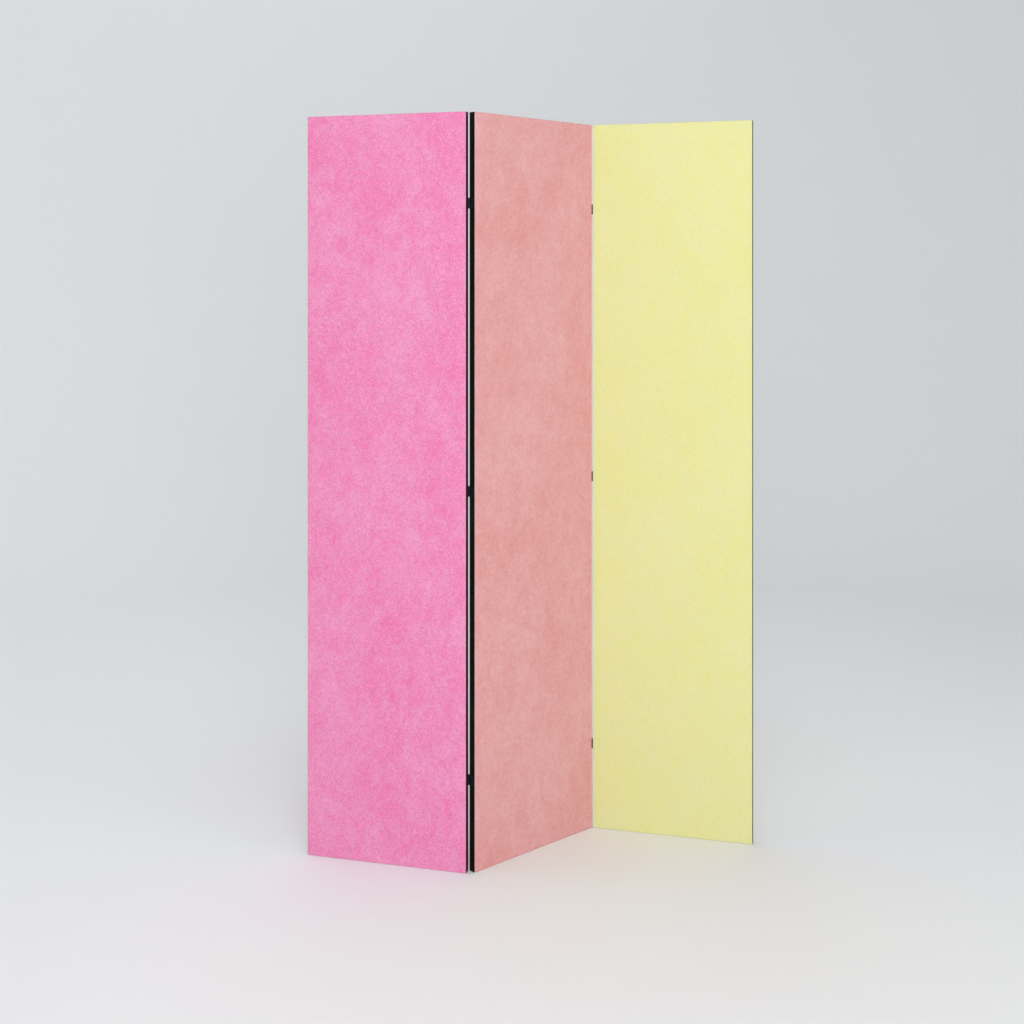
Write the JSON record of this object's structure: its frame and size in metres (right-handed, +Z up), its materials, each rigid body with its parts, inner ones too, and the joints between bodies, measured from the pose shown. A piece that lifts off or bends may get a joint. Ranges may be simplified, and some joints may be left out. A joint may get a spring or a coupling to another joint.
{
  "type": "folding screen",
  "caption": "Freestanding folding screen: tall cloth-faced leaves on black frames, joined in a zigzag by small butt hinges, that divides or hides part of a room.",
  "frame": {"origin": "on the floor, under the middle of the centre leaf", "axes": "+Z up, +X across the open screen to the right leaf, +Y from the front faces to the back faces"},
  "size_m": [1.0876, 0.2192, 1.8],
  "materials": {
    "frame_black": "black painted softwood, satin",
    "cloth_pink": "mottled pink felt-look cloth, matt",
    "cloth_salmon": "mottled salmon felt-look cloth, matt",
    "cloth_yellow": "mottled pale yellow felt-look cloth, matt",
    "hinge_black": "black lacquered steel, satin",
    "pin_black": "blackened steel, satin"
  },
  "bodies": {
    "centre_leaf": {"centre_leaf_back_cloth": "cloth_salmon", "centre_leaf_bottom_rail": "frame_black", "centre_leaf_front_cloth": "cloth_salmon", "centre_leaf_left_stile": "frame_black", "centre_leaf_lower_cross_rail": "frame_black", "centre_leaf_right_stile": "frame_black", "centre_leaf_top_rail": "frame_black", "centre_leaf_upper_cross_rail": "frame_black", "left_fold_bottom_hinge_centre_plate": "hinge_black", "left_fold_bottom_hinge_pin": "pin_black", "left_fold_middle_hinge_centre_plate": "hinge_black", "left_fold_middle_hinge_pin": "pin_black", "left_fold_top_hinge_centre_plate": "hinge_black", "left_fold_top_hinge_pin": "pin_black", "right_fold_bottom_hinge_centre_plate": "hinge_black", "right_fold_bottom_hinge_pin": "pin_black", "right_fold_middle_hinge_centre_plate": "hinge_black", "right_fold_middle_hinge_pin": "pin_black", "right_fold_top_hinge_centre_plate": "hinge_black", "right_fold_top_hinge_pin": "pin_black"},
    "left_leaf": {"left_fold_bottom_hinge_side_plate": "hinge_black", "left_fold_middle_hinge_side_plate": "hinge_black", "left_fold_top_hinge_side_plate": "hinge_black", "left_leaf_back_cloth": "cloth_pink", "left_leaf_bottom_rail": "frame_black", "left_leaf_front_cloth": "cloth_pink", "left_leaf_left_stile": "frame_black", "left_leaf_lower_cross_rail": "frame_black", "left_leaf_right_stile": "frame_black", "left_leaf_top_rail": "frame_black", "left_leaf_upper_cross_rail": "frame_black"},
    "right_leaf": {"right_fold_bottom_hinge_side_plate": "hinge_black", "right_fold_middle_hinge_side_plate": "hinge_black", "right_fold_top_hinge_side_plate": "hinge_black", "right_leaf_back_cloth": "cloth_yellow", "right_leaf_bottom_rail": "frame_black", "right_leaf_front_cloth": "cloth_yellow", "right_leaf_left_stile": "frame_black", "right_leaf_lower_cross_rail": "frame_black", "right_leaf_right_stile": "frame_black", "right_leaf_top_rail": "frame_black", "right_leaf_upper_cross_rail": "frame_black"}
  },
  "joints": [
    {"name": "left_fold", "type": "hinge", "parent": "centre_leaf", "child": "left_leaf", "pos_m": [-0.18177, -0.09317, 0.9], "axis": [0, 0, -1], "range_deg": [-60, 120]},
    {"name": "right_fold", "type": "hinge", "parent": "centre_leaf", "child": "right_leaf", "pos_m": [0.18177, 0.09317, 0.9], "axis": [0, 0, -1], "range_deg": [-60, 120]}
  ]
}
